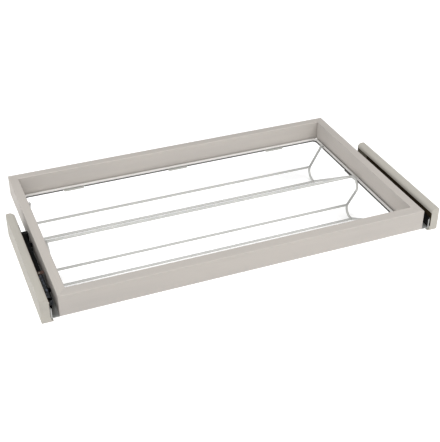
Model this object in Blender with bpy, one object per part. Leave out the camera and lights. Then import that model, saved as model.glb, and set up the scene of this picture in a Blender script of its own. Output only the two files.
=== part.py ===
"""Pull-out shoe rack: a shallow tray frame of board rails on two telescopic
side slides, with a welded wire rack hung in the frame for two rows of shoes.

Metres, +Z up. +X is to the right of a person who faces the rack, +Y is to the
back of the wardrobe, and the tray pulls out along -Y. The drawing below uses
the centre of the tray's footprint, at the rails' underside, as its datum; an
empty then places that datum so that the model's origin is the centre of its
overall box.
"""
import math

import bmesh
import bpy
from mathutils import Vector

for _old in list(bpy.data.objects):
    bpy.data.objects.remove(_old, do_unlink=True)

# ---------------------------------------------------------------- dimensions
GAP = 0.0003                     # clearance between pieces that touch

TRAY_WIDTH = 0.887               # over the side rails
TRAY_DEPTH = 0.532               # over the front and back rails
RAIL_HEIGHT = 0.052
RAIL_THICK = 0.022
FRONT_THICK = 0.027              # the front rail is the thickest one
REBATE_Z = 0.016                 # height of the rebate for the wire ring
RAIL_ROUND = 0.0025              # soft long edges of the foil-wrapped rails

BISCUIT_HALF = 0.008             # half width of a biscuit across its mitre
BISCUIT_THICK = 0.004
BISCUIT_Z = (0.010, 0.042)

WIRE_R = 0.003                   # 6 mm wire throughout
WIRE_SIDES = 10
RING_X = 0.416                   # centre lines of the perimeter ring
RING_Y = 0.239
RING_Z = 0.0015
RING_BEND = 0.012
WAVE_X = RING_X - 2 * WIRE_R - GAP   # plane of each sawtooth side wire

# Sawtooth side wire, as (Y, Z): top end, then the corner points of its legs
# before bending, then the front end above the front ring rod.
WAVE_TOP = (0.1882, 0.0084)
WAVE_CORNERS = ((0.2997, -0.1759), (-0.0534, 0.0444), (0.0654, -0.1581))
WAVE_BENDS = (0.0237, 0.0206, 0.0218)
WAVE_END = (-0.2405, 0.0109)
HEEL_IN = (0.0030, 0.0045)       # heel rods: length into the bend, rear and front

TAB_WIDTH = 0.054
TAB_UNDER = 0.015                # reach under the rail
TAB_REACH = 0.0135               # reach past the rail's inner face
TAB_SIDE_REACH = 0.0082          # side tabs stop short of the side wires
TAB_SIDE_WIDTH = 0.070
TAB_THICK = 0.0040
TAB_X = (-0.285, 0.0, 0.285)
TAB_SIDE_Y = 0.036

SPACER_OUT = 0.4835              # outer faces, 967 mm apart
SPACER_IN = 0.4625
SPACER_Y = (-0.2695, 0.0905)
SPACER_Z = (-0.006, 0.052)
SPACER_LIP = 0.0040              # inward lip along the bottom
SPACER_BACK_R = 0.0055           # rounded back corners, seen from above
SPACER_EDGE_R = 0.0060           # rounded inner top edge

SLIDE_ZC = 0.01575               # height of the slide's centre line
ANGLE_Y = (-0.2665, 0.0360)
MEMBER_Y = (-0.234, 0.0245)      # cabinet member
MIDDLE_Y = (-0.232, 0.0215)
DRAWER_Y = (-0.234, 0.0225)
STOP_Y = (0.0250, 0.0360)
OUTER_CAGE_Y = (-0.158, -0.048)
INNER_CAGE_Y = (-0.155, -0.045)
BALL_R = 0.00125
BALLS_IN_ROW = 3
CABINET_SCREW_Y = (-0.205, 0.005)
DRAWER_SCREW_Y = (-0.190, -0.005)
DRAWER_WEB = (0.0126, 0.0136)    # drawer member, held off the rail by bosses
BOSS_R = 0.0050

HX = TRAY_WIDTH / 2
HY = TRAY_DEPTH / 2
INNER_X = HX - RAIL_THICK
INNER_Y = HY - RAIL_THICK
RAIL_U = SPACER_IN - HX           # gap between a spacer and the tray

# ------------------------------------------------------------------ finishes
GREIGE = (0.515, 0.473, 0.436, 1.0)
SPACER_GREIGE = (0.520, 0.490, 0.435, 1.0)
WIRE_GREY = (0.560, 0.545, 0.515, 1.0)
TAB_GREY = (0.480, 0.465, 0.440, 1.0)
DARK_STEEL = (0.022, 0.021, 0.020, 1.0)
ZINC = (0.420, 0.425, 0.430, 1.0)
BLACK_PLASTIC = (0.012, 0.012, 0.012, 1.0)
CAGE_STEEL = (0.300, 0.295, 0.285, 1.0)
SCREW_ZINC = (0.450, 0.440, 0.410, 1.0)
BEECH = (0.480, 0.310, 0.170, 1.0)


def finish(name, colour, roughness, metallic):
    mat = bpy.data.materials.new("finish_" + name)
    mat.use_nodes = True
    bsdf = mat.node_tree.nodes["Principled BSDF"]
    bsdf.inputs["Base Color"].default_value = colour
    bsdf.inputs["Roughness"].default_value = roughness
    bsdf.inputs["Metallic"].default_value = metallic
    return mat


# ------------------------------------------------------------- shape helpers
def loft(bm, rings):
    """Closed skin through rings of points, with flat caps at both ends."""
    rows = [[bm.verts.new(p) for p in ring] for ring in rings]
    count = len(rows[0])
    for lower, upper in zip(rows, rows[1:]):
        for i in range(count):
            j = (i + 1) % count
            bm.faces.new((lower[i], lower[j], upper[j], upper[i]))
    bm.faces.new(list(reversed(rows[0])))
    bm.faces.new(rows[-1])


def box(bm, lo, hi):
    ring = [(lo[0], lo[1]), (hi[0], lo[1]), (hi[0], hi[1]), (lo[0], hi[1])]
    loft(bm, [[Vector((x, y, z)) for x, y in ring] for z in (lo[2], hi[2])])


def prism_y(bm, outline, y0, y1):
    """Outline of (x, z) points, extruded along Y."""
    loft(bm, [[Vector((x, y, z)) for x, z in outline] for y in (y0, y1)])


def prism_x(bm, outline, x0, x1):
    """Outline of (y, z) points, extruded along X."""
    loft(bm, [[Vector((x, y, z)) for y, z in outline] for x in (x0, x1)])


def prism_z(bm, outline, z0, z1):
    """Outline of (x, y) points, extruded along Z."""
    loft(bm, [[Vector((x, y, z)) for x, y in outline] for z in (z0, z1)])


def arc(cx, cy, radius, start, stop, steps):
    """Points on an arc, angles in degrees."""
    pts = []
    for i in range(steps + 1):
        t = math.radians(start + (stop - start) * i / steps)
        pts.append((cx + radius * math.cos(t), cy + radius * math.sin(t)))
    return pts


def rounded_rect(a0, a1, b0, b1, radius, steps=2):
    return (arc(a1 - radius, b0 + radius, radius, -90, 0, steps)
            + arc(a1 - radius, b1 - radius, radius, 0, 90, steps)
            + arc(a0 + radius, b1 - radius, radius, 90, 180, steps)
            + arc(a0 + radius, b0 + radius, radius, 180, 270, steps))


def turned(bm, base, axis, profile, sides=12):
    """Turned solid: (distance along the axis, radius) pairs, closed on the
    axis at both ends."""
    axis = Vector(axis).normalized()
    side = axis.orthogonal().normalized()
    other = axis.cross(side)
    base = Vector(base)
    rows = []
    for along, radius in profile:
        centre = base + axis * along
        if radius == 0.0:
            rows.append([bm.verts.new(centre)])
            continue
        row = []
        for i in range(sides):
            t = 2 * math.pi * i / sides
            row.append(bm.verts.new(
                centre + (side * math.cos(t) + other * math.sin(t)) * radius))
        rows.append(row)
    for lower, upper in zip(rows, rows[1:]):
        for i in range(sides):
            j = (i + 1) % sides
            if len(lower) == 1:
                bm.faces.new((lower[0], upper[i], upper[j]))
            elif len(upper) == 1:
                bm.faces.new((lower[i], lower[j], upper[0]))
            else:
                bm.faces.new((lower[i], lower[j], upper[j], upper[i]))


def plug(bm, base, axis, radius, length, sides=12):
    """Plain round bar, used for holes."""
    turned(bm, base, axis,
           [(0.0, 0.0), (0.0, radius), (length, radius), (length, 0.0)], sides)


def tube(bm, path, normal, radius=WIRE_R, sides=WIRE_SIDES):
    """Round wire along a flat path; normal is the plane's normal."""
    normal = Vector(normal).normalized()
    path = [Vector(p) for p in path]
    rings = []
    for i, p in enumerate(path):
        if i == 0:
            along = path[1] - p
            stretch = 1.0
        elif i == len(path) - 1:
            along = p - path[-2]
            stretch = 1.0
        else:
            a = (p - path[i - 1]).normalized()
            b = (path[i + 1] - p).normalized()
            along = a + b
            stretch = 1.0 / max(0.5, along.normalized().dot(a))
        across = normal.cross(along.normalized())
        ring = []
        for k in range(sides):
            t = 2 * math.pi * (k + 0.5) / sides
            ring.append(p + normal * (radius * math.cos(t))
                        + across * (radius * stretch * math.sin(t)))
        rings.append(ring)
    loft(bm, rings)


def bent_path(points, bends, steps):
    """Corner points with a round bend at each inner one. Gives the path and
    the two tangent points of every bend."""
    pts = [Vector(p) for p in points]
    path = [pts[0]]
    tangents = []
    for i, radius in enumerate(bends, start=1):
        corner = pts[i]
        back = (pts[i - 1] - corner).normalized()
        ahead = (pts[i + 1] - corner).normalized()
        half = back.angle(ahead) / 2
        reach = radius / math.tan(half)
        first = corner + back * reach
        last = corner + ahead * reach
        centre = corner + (back + ahead).normalized() * (radius / math.sin(half))
        r0 = first - centre
        r1 = last - centre
        sweep = r0.angle(r1)
        for k in range(steps + 1):
            t = k / steps
            spoke = (r0 * math.sin((1 - t) * sweep)
                     + r1 * math.sin(t * sweep)) / math.sin(sweep)
            path.append(centre + spoke)
        tangents.append((first, last))
    path.append(pts[-1])
    return path, tangents


# ------------------------------------------------------------ object helpers
scene_objects = bpy.context.scene.collection.objects

DATUM = bpy.data.objects.new("datum", None)
scene_objects.link(DATUM)


def carriage(name, place):
    """Empty on a sliding body's line of travel."""
    empty = bpy.data.objects.new(name, None)
    empty.location = place
    empty.parent = DATUM
    scene_objects.link(empty)
    return empty


def closed_mesh(name, build):
    bm = bmesh.new()
    build(bm)
    bmesh.ops.recalc_face_normals(bm, faces=bm.faces[:])
    mesh = bpy.data.meshes.new(name)
    bm.to_mesh(mesh)
    bm.free()
    return mesh


def combine(mesh, tool, operation):
    """Mesh after one exact Boolean with a tool mesh."""
    body = bpy.data.objects.new("body", mesh)
    other = bpy.data.objects.new("tool", tool)
    other.hide_render = True
    other.display_type = 'WIRE'
    scene_objects.link(body)
    scene_objects.link(other)
    mod = body.modifiers.new("tool", 'BOOLEAN')
    mod.operation = operation
    mod.solver = 'EXACT'
    mod.object = other
    graph = bpy.context.evaluated_depsgraph_get()
    result = bpy.data.meshes.new_from_object(body.evaluated_get(graph))
    bpy.data.objects.remove(body, do_unlink=True)
    bpy.data.objects.remove(other, do_unlink=True)
    return result


def piece(name, build, colour, roughness=0.5, metallic=0.0, parent=None,
          cuts=None, adds=None, keep=None, smooth=0.0):
    """One named solid. cuts, adds and keep build meshes to subtract, to fuse
    and to intersect. The origin goes to the middle of the piece's box."""
    mesh = closed_mesh(name, build)
    if keep:
        mesh = combine(mesh, closed_mesh(name + "_keep", keep), 'INTERSECT')
    if adds:
        mesh = combine(mesh, closed_mesh(name + "_add", adds), 'UNION')
    if cuts:
        mesh = combine(mesh, closed_mesh(name + "_cut", cuts), 'DIFFERENCE')
    mesh.name = name
    lo = Vector([min(v.co[i] for v in mesh.vertices) for i in range(3)])
    hi = Vector([max(v.co[i] for v in mesh.vertices) for i in range(3)])
    middle = (lo + hi) / 2
    for v in mesh.vertices:
        v.co -= middle
    if smooth:
        mesh.shade_smooth()
        mesh.set_sharp_from_angle(angle=math.radians(smooth))
    mesh.materials.clear()
    mesh.materials.append(finish(name, colour, roughness, metallic))
    obj = bpy.data.objects.new(name, mesh)
    parent = parent or DATUM
    obj.parent = parent
    obj.location = middle - (Vector(parent.location) if parent is not DATUM
                             else Vector((0, 0, 0)))
    scene_objects.link(obj)
    return obj


TRAY = carriage("tray_carriage", (0.0, -HY, SLIDE_ZC))

# ------------------------------------------------------------ the wave's legs
wave_path, wave_tangents = bent_path(
    [WAVE_TOP, *WAVE_CORNERS, WAVE_END], WAVE_BENDS, 10)


def into_bend(index, length):
    """Point on the side wire, a given length into one of its bends."""
    start, end = wave_tangents[index]
    corner, radius = Vector(WAVE_CORNERS[index]), WAVE_BENDS[index]
    leg = (corner - start).normalized()
    inward = (start + end) / 2 - corner
    inward = (inward - leg * inward.dot(leg)).normalized()
    angle = length / radius
    return (start + leg * radius * math.sin(angle)
            + inward * radius * (1 - math.cos(angle)))


REAR_HEEL, REAR_BOTTOM = into_bend(0, HEEL_IN[0]), wave_tangents[0][1]
CREST = wave_tangents[1][0]
FRONT_HEEL, FRONT_BOTTOM = into_bend(2, HEEL_IN[1]), wave_tangents[2][1]

# ---------------------------------------------------------------- tray frame
MITRE = GAP / math.sqrt(2)       # half of the mitre's gap, along a rail

corner_points = {}
for fx, sx in (("left", -1), ("right", 1)):
    for fy, sy in (("front", -1), ("back", 1)):
        corner_points[fy + "_" + fx] = (
            sx, sy, sx * (HX - RAIL_THICK / 2),
            sy * (HY - (FRONT_THICK if sy < 0 else RAIL_THICK) / 2))


def biscuit_outline(sx, sy, cx, cy, extra):
    """Plan of a biscuit: long across the mitre, thin along it."""
    across = Vector((sx, -sy)) / math.sqrt(2)
    along = Vector((sx, sy)) / math.sqrt(2)
    a = BISCUIT_HALF + extra
    b = BISCUIT_THICK / 2 + extra
    return [(cx + across.x * i * a + along.x * j * b,
             cy + across.y * i * a + along.y * j * b)
            for i, j in ((-1, -1), (1, -1), (1, 1), (-1, 1))]


tab_places = {}
for label, x in zip(("left", "centre", "right"), TAB_X):
    tab_places["back_" + label] = ("y", 1, x)
    tab_places["front_" + label] = ("y", -1, x)
tab_places["side_left"] = ("x", -1, TAB_SIDE_Y)
tab_places["side_right"] = ("x", 1, TAB_SIDE_Y)


def tab_screw_point(spot):
    direction, sign, where = tab_places[spot]
    if direction == "y":
        return Vector((where, sign * (INNER_Y + TAB_UNDER * 0.55), 0.0))
    return Vector((sign * (INNER_X + TAB_UNDER * 0.55), where, 0.0))


def rail_cuts(which):
    """Biscuit pockets and screw holes of one rail."""
    def build(bm):
        for corner, (sx, sy, cx, cy) in corner_points.items():
            if which in corner:
                prism_z(bm, biscuit_outline(sx, sy, cx, cy, GAP),
                        BISCUIT_Z[0] - GAP, BISCUIT_Z[1] + GAP)
        for spot in tab_places:
            owner = spot.split("_")[0]
            if owner == "side":
                owner = spot.split("_")[1]
            if owner == which:
                plug(bm, tab_screw_point(spot) - Vector((0, 0, 0.002)),
                     (0, 0, 1), 0.0017 + GAP, 0.0162)
        if which == "front":
            box(bm, (-INNER_X, -INNER_Y, -0.002),
                (INNER_X, 0.002 - HY + FRONT_THICK, REBATE_Z))
        if which in ("left", "right"):
            sx = -1 if which == "left" else 1
            for y in DRAWER_SCREW_Y:
                plug(bm, (sx * (HX + 0.002), y, SLIDE_ZC), (-sx, 0, 0),
                     0.0018 + GAP, 0.0150)
    return build


def long_rail(sy):
    thick = FRONT_THICK if sy < 0 else RAIL_THICK

    def build(bm):
        y0, y1 = sorted((sy * HY, sy * (HY - thick)))
        outline = rounded_rect(y0, y1, 0.0, RAIL_HEIGHT, RAIL_ROUND)
        ends = [HX - (HY - abs(y)) * RAIL_THICK / thick - MITRE
                for y, z in outline]
        loft(bm, [[Vector((side * e, y, z)) for (y, z), e in zip(outline, ends)]
                  for side in (-1, 1)])
    return build


def side_rail(sx):
    def build(bm):
        x0, x1 = sorted((sx * HX, sx * INNER_X))
        outline = rounded_rect(x0, x1, 0.0, RAIL_HEIGHT, RAIL_ROUND)
        loft(bm, [[Vector((x, side * (HY - (HX - abs(x)) * thick / RAIL_THICK
                                      - MITRE), z)) for x, z in outline]
                  for side, thick in ((-1, FRONT_THICK), (1, RAIL_THICK))])
    return build


piece("front_rail", long_rail(-1), GREIGE, 0.55, parent=TRAY,
      cuts=rail_cuts("front"))
piece("back_rail", long_rail(1), GREIGE, 0.55, parent=TRAY,
      cuts=rail_cuts("back"))
piece("left_rail", side_rail(-1), GREIGE, 0.55, parent=TRAY,
      cuts=rail_cuts("left"))
piece("right_rail", side_rail(1), GREIGE, 0.55, parent=TRAY,
      cuts=rail_cuts("right"))

for corner, (sx, sy, cx, cy) in corner_points.items():
    outline = biscuit_outline(sx, sy, cx, cy, 0.0)
    piece("corner_biscuit_" + corner,
          lambda bm, o=outline: prism_z(bm, o, *BISCUIT_Z),
          BEECH, 0.7, parent=TRAY)

# ----------------------------------------------------------------- wire rack
for side, sy in (("front", -1), ("back", 1)):
    ring_path, _ = bent_path(
        [(-RING_X, sy * (RING_Y - RING_BEND - 0.004)), (-RING_X, sy * RING_Y),
         (RING_X, sy * RING_Y), (RING_X, sy * (RING_Y - RING_BEND - 0.004))],
        (RING_BEND, RING_BEND), 5)
    piece("ring_rod_" + side,
          lambda bm, p=ring_path: tube(
              bm, [(v.x, v.y, RING_Z) for v in p], (0, 0, 1)),
          WIRE_GREY, 0.45, parent=TRAY, smooth=50)

side_half = RING_Y - RING_BEND - 0.004 - GAP
for side, sx in (("left", -1), ("right", 1)):
    piece("ring_rod_" + side,
          lambda bm, s=sx: tube(
              bm, [(s * RING_X, -side_half, RING_Z),
                   (s * RING_X, side_half, RING_Z)], (0, 0, 1)),
          WIRE_GREY, 0.45, parent=TRAY, smooth=50)
    piece("side_wave_wire_" + side,
          lambda bm, s=sx: tube(
              bm, [(s * WAVE_X, v.x, v.y) for v in wave_path], (1, 0, 0)),
          WIRE_GREY, 0.45, parent=TRAY, smooth=50)

rod_half = WAVE_X - WIRE_R - GAP
for label, spot in (("rear_heel_rod", REAR_HEEL),
                    ("rear_bottom_rod", REAR_BOTTOM),
                    ("middle_crest_rod", CREST),
                    ("front_heel_rod", FRONT_HEEL),
                    ("front_bottom_rod", FRONT_BOTTOM)):
    piece(label,
          lambda bm, s=spot: tube(
              bm, [(-rod_half, s.x, s.y), (rod_half, s.x, s.y)], (0, 0, 1)),
          WIRE_GREY, 0.45, parent=TRAY, smooth=50)

# -------------------------------------------------- support tabs and screws
TAB_TOP = -GAP
TAB_STEP = RING_Z - WIRE_R - GAP
TAB_BOTTOM = TAB_TOP - TAB_THICK


def tab_profile(reach):
    """Side view of a tab: distance from the rail's inner face outwards, and
    height. The part past the rail is lower, to take the ring."""
    return [(TAB_UNDER, TAB_BOTTOM), (TAB_UNDER, TAB_TOP), (0.001, TAB_TOP),
            (-0.001, TAB_STEP), (-reach, TAB_STEP), (-reach, TAB_BOTTOM)]


for spot, (direction, sign, where) in tab_places.items():
    screw_at = tab_screw_point(spot)

    def tab(bm, d=direction, s=sign, w=where):
        if d == "y":
            outline = [(s * (INNER_Y + a), z) for a, z in tab_profile(TAB_REACH)]
            prism_x(bm, outline, w - TAB_WIDTH / 2, w + TAB_WIDTH / 2)
        else:
            outline = [(s * (INNER_X + a), z)
                       for a, z in tab_profile(TAB_SIDE_REACH)]
            prism_y(bm, outline, w - TAB_SIDE_WIDTH / 2, w + TAB_SIDE_WIDTH / 2)

    piece("support_tab_" + spot, tab, TAB_GREY, 0.5, parent=TRAY,
          cuts=lambda bm, p=screw_at: plug(
              bm, p + Vector((0, 0, TAB_BOTTOM - 0.002)), (0, 0, 1),
              0.0017 + GAP, TAB_THICK + 0.004))
    piece("tab_screw_" + spot,
          lambda bm, p=screw_at: turned(
              bm, p + Vector((0, 0, TAB_BOTTOM - GAP)), (0, 0, 1),
              [(-0.0022, 0.0), (-0.0022, 0.0024), (-0.0014, 0.0036),
               (0.0, 0.0036), (0.0, 0.0017), (0.0155, 0.0017), (0.0180, 0.0)]),
          SCREW_ZINC, 0.35, 1.0, parent=TRAY, smooth=40)

# ------------------------------------------------------- spacers and slides


def from_spacer(sx, u):
    """X of a point u away from a spacer's inner face, towards the tray."""
    return sx * (SPACER_IN - u)


def channel(sx, web, tips, inner, outer):
    """C section as (x, z): web = (u0, u1), flanges from the web to tips,
    inner and outer half heights of the flanges."""
    u0, u1 = web
    if tips > u1:
        pts = [(u0, -outer), (tips, -outer), (tips, -inner), (u1, -inner),
               (u1, inner), (tips, inner), (tips, outer), (u0, outer)]
    else:
        pts = [(u1, -outer), (tips, -outer), (tips, -inner), (u0, -inner),
               (u0, inner), (tips, inner), (tips, outer), (u1, outer)]
    return [(from_spacer(sx, u), SLIDE_ZC + z) for u, z in pts]


def cage(sx, web, tip, level):
    """U section of a ball cage, and the places of its balls."""
    u0, u1 = web
    lo, hi = level - 0.0004, level + 0.0004
    pts = [(u0, -hi), (tip, -hi), (tip, -lo), (u1, -lo),
           (u1, lo), (tip, lo), (tip, hi), (u0, hi)]
    return [(from_spacer(sx, u), SLIDE_ZC + z) for u, z in pts]


def balls(sx, u, level, y0, y1):
    def build(bm):
        for k in range(BALLS_IN_ROW):
            y = y0 + (y1 - y0) * (k + 0.5) / BALLS_IN_ROW
            for s in (-1, 1):
                made = bmesh.ops.create_icosphere(
                    bm, subdivisions=2, radius=BALL_R)
                bmesh.ops.translate(
                    bm, verts=made["verts"],
                    vec=(from_spacer(sx, u), y, SLIDE_ZC + s * level))
    return build


for side, sx in (("left", -1), ("right", 1)):
    MIDDLE = carriage("middle_carriage_" + side,
                      (from_spacer(sx, 0.0044), MIDDLE_Y[0], SLIDE_ZC))
    OUTER_CAGE = carriage("outer_cage_carriage_" + side,
                          (from_spacer(sx, 0.0032), OUTER_CAGE_Y[0], SLIDE_ZC))
    INNER_CAGE = carriage("inner_cage_carriage_" + side,
                          (from_spacer(sx, 0.0055), INNER_CAGE_Y[0], SLIDE_ZC))

    # Spacer: a board with an inward lip and a cove along its bottom.
    z0, z1 = SPACER_Z
    lip_x = SPACER_IN - SPACER_LIP
    section = (arc(SPACER_OUT - 0.0015, z0 + 0.0015, 0.0015, -90, 0, 2)
               + arc(SPACER_OUT - 0.0015, z1 - 0.0015, 0.0015, 0, 90, 2)
               + arc(SPACER_IN + SPACER_EDGE_R, z1 - SPACER_EDGE_R,
                     SPACER_EDGE_R, 90, 180, 4)
               + arc(lip_x, z0 + 0.0015 + SPACER_LIP, SPACER_LIP, 0, -90, 4)
               + [(lip_x, z0)])
    section = [(sx * x, z) for x, z in section]
    r = SPACER_BACK_R
    plan = ([(lip_x - 0.001, SPACER_Y[0]), (SPACER_OUT + 0.001, SPACER_Y[0])]
            + arc(SPACER_OUT + 0.001 - 0.004, SPACER_Y[1] - 0.004, 0.004,
                  0, 90, 3)
            + arc(SPACER_IN + r, SPACER_Y[1] - r, r, 90, 180, 4)
            + [(SPACER_IN, SPACER_Y[1] - r - 0.004),
               (lip_x - 0.001, SPACER_Y[1] - r - 0.004)])
    plan = [(sx * x, y) for x, y in plan]

    def cabinet_holes(bm, s=sx):
        for y in CABINET_SCREW_Y:
            turned(bm, (from_spacer(s, 0.0036), y, SLIDE_ZC), (s, 0, 0),
                   [(0.0, 0.0), (0.0, 0.0036 + GAP), (0.0012, 0.0036 + GAP),
                    (0.0030, 0.0018 + GAP), (0.0160, 0.0018 + GAP),
                    (0.0160, 0.0)])

    def drawer_holes(bm, s=sx):
        for y in DRAWER_SCREW_Y:
            plug(bm, (from_spacer(s, DRAWER_WEB[0] - 0.0011), y, SLIDE_ZC),
                 (-s, 0, 0), 0.0018 + GAP, 0.0090)

    def drawer_bosses(bm, s=sx):
        base = (DRAWER_WEB[0] + DRAWER_WEB[1]) / 2
        for y in DRAWER_SCREW_Y:
            plug(bm, (from_spacer(s, base), y, SLIDE_ZC), (-s, 0, 0),
                 BOSS_R, RAIL_U - GAP - base)

    piece("spacer_" + side,
          lambda bm, o=section: prism_y(bm, o, SPACER_Y[0] - 0.0,
                                        SPACER_Y[1] + 0.002),
          SPACER_GREIGE, 0.55,
          keep=lambda bm, o=plan: prism_z(bm, o, z0 - 0.01, z1 + 0.01),
          cuts=cabinet_holes)

    # Galvanised angle that carries the slide on the spacer.
    edge = RAIL_U - 0.0005
    angle = [(0.0003, 0.0), (edge, 0.0), (edge, 0.0012), (0.0013, 0.0012),
             (0.0013, 0.0300), (0.0003, 0.0300)]
    piece("slide_angle_" + side,
          lambda bm, o=[(from_spacer(sx, u), z) for u, z in angle]:
          prism_y(bm, o, *ANGLE_Y),
          ZINC, 0.40, 1.0, cuts=cabinet_holes)

    piece("slide_cabinet_member_" + side,
          lambda bm, o=channel(sx, (0.0016, 0.0026), 0.0100, 0.01325, 0.01425):
          prism_y(bm, o, *MEMBER_Y),
          DARK_STEEL, 0.40, 0.8, cuts=cabinet_holes)
    piece("slide_middle_member_" + side,
          lambda bm, o=channel(sx, (0.0039, 0.0049), 0.0115, 0.00935, 0.01035):
          prism_y(bm, o, *MIDDLE_Y),
          DARK_STEEL, 0.40, 0.8, parent=MIDDLE)
    piece("slide_drawer_member_" + side,
          lambda bm, o=channel(sx, DRAWER_WEB, 0.0062, 0.00545, 0.00645):
          prism_y(bm, o, *DRAWER_Y),
          DARK_STEEL, 0.40, 0.8, parent=TRAY, adds=drawer_bosses,
          cuts=drawer_holes)

    piece("outer_ball_cage_" + side,
          lambda bm, o=cage(sx, (0.0030, 0.0035), 0.0095, 0.0118):
          prism_y(bm, o, *OUTER_CAGE_Y),
          CAGE_STEEL, 0.35, 1.0, parent=OUTER_CAGE,
          adds=balls(sx, 0.0070, 0.0118, *OUTER_CAGE_Y))
    piece("inner_ball_cage_" + side,
          lambda bm, o=cage(sx, (0.0053, 0.0058), 0.0110, 0.0079):
          prism_y(bm, o, *INNER_CAGE_Y),
          CAGE_STEEL, 0.35, 1.0, parent=INNER_CAGE,
          adds=balls(sx, 0.0088, 0.0079, *INNER_CAGE_Y))

    stop = rounded_rect(*sorted((from_spacer(sx, 0.0016),
                                 from_spacer(sx, RAIL_U - 0.0013))),
                        0.0015, 0.0300, 0.0015)
    piece("slide_end_stop_" + side,
          lambda bm, o=stop: prism_y(bm, o, *STOP_Y), BLACK_PLASTIC, 0.5)

    for where, y in zip(("front", "rear"), CABINET_SCREW_Y):
        piece("cabinet_screw_%s_%s" % (where, side),
              lambda bm, yy=y: turned(
                  bm, (from_spacer(sx, 0.0025), yy, SLIDE_ZC), (sx, 0, 0),
                  [(0.0, 0.0), (0.0, 0.0036), (0.0001, 0.0036),
                   (0.0019, 0.0018), (0.0125, 0.0018), (0.0146, 0.0)]),
              SCREW_ZINC, 0.35, 1.0, smooth=40)
    for where, y in zip(("front", "rear"), DRAWER_SCREW_Y):
        piece("drawer_screw_%s_%s" % (where, side),
              lambda bm, yy=y: turned(
                  bm, (from_spacer(sx, DRAWER_WEB[0] - GAP), yy, SLIDE_ZC),
                  (-sx, 0, 0),
                  [(-0.0020, 0.0), (-0.0020, 0.0024), (-0.0013, 0.0036),
                   (0.0, 0.0036), (0.0, 0.0018), (0.0168, 0.0018),
                   (0.0190, 0.0)]),
              SCREW_ZINC, 0.35, 1.0, parent=TRAY, smooth=40)

# ------------------------------------------------- origin at the box's centre
lowest = min(v.y for v in wave_path) - WIRE_R
DATUM.location = (0.0, -(SPACER_Y[0] + HY) / 2, -(lowest + RAIL_HEIGHT) / 2)
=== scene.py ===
"""Looks of the pull-out shoe rack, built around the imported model.

Positions are written in the drawing's datum: the centre of the tray's
footprint, at the rails' underside. D() turns them into the row frame.
"""
import math

import bpy
from mathutils import Matrix, Vector, noise


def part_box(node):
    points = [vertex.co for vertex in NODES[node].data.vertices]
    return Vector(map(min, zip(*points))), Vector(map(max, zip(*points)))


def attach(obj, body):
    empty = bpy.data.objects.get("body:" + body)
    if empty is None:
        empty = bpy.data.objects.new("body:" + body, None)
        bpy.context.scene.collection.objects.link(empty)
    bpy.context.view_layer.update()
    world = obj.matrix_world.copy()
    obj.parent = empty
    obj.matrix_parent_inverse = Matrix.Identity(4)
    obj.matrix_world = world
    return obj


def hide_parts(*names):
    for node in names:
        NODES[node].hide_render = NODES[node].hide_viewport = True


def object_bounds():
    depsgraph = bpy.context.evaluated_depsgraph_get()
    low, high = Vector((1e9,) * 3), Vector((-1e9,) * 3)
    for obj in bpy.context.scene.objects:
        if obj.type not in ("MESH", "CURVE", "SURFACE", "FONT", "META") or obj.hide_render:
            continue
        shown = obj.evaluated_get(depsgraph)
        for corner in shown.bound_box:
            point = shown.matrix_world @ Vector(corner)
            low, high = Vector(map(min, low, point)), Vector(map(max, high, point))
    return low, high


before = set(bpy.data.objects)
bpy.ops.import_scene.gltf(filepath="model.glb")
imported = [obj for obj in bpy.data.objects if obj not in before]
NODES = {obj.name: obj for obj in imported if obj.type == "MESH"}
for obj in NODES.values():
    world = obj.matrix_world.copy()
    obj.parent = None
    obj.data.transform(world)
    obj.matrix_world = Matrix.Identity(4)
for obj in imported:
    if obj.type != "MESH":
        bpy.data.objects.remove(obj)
CAD_LO, CAD_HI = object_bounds()
scene = bpy.context.scene

# Light: an even base, broad soft lobes of the dome, near softboxes, floor
# glow near and far, and the horizon's band (sine of elevation, strength).
DOME_BASE = 0.255
DOME_LOBES = [((0.0, -0.62, 0.78), 0.3, 0.79)]
KEYS = [((-1.25, 0.0, 1.5), 1.2, 19.0), ((0.9, -0.8, 1.3), 1.2, 15.5)]
FLOOR_GLOW = (0.28, 0.80)
HORIZON = (0.03, 0.14, 0.75)

# ------------------------------------------------------------------- datum
HX, HY = 0.4435, 0.266
RAIL_H, RAIL_T = 0.052, 0.022
FRONT_T, REBATE_Z = 0.027, 0.016
INNER_X, INNER_Y = HX - RAIL_T, HY - RAIL_T
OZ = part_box("front_rail")[0].z
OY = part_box("front_rail")[0].y + HY


def D(x, y, z):
    return Vector((x, y + OY, z + OZ))


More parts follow.
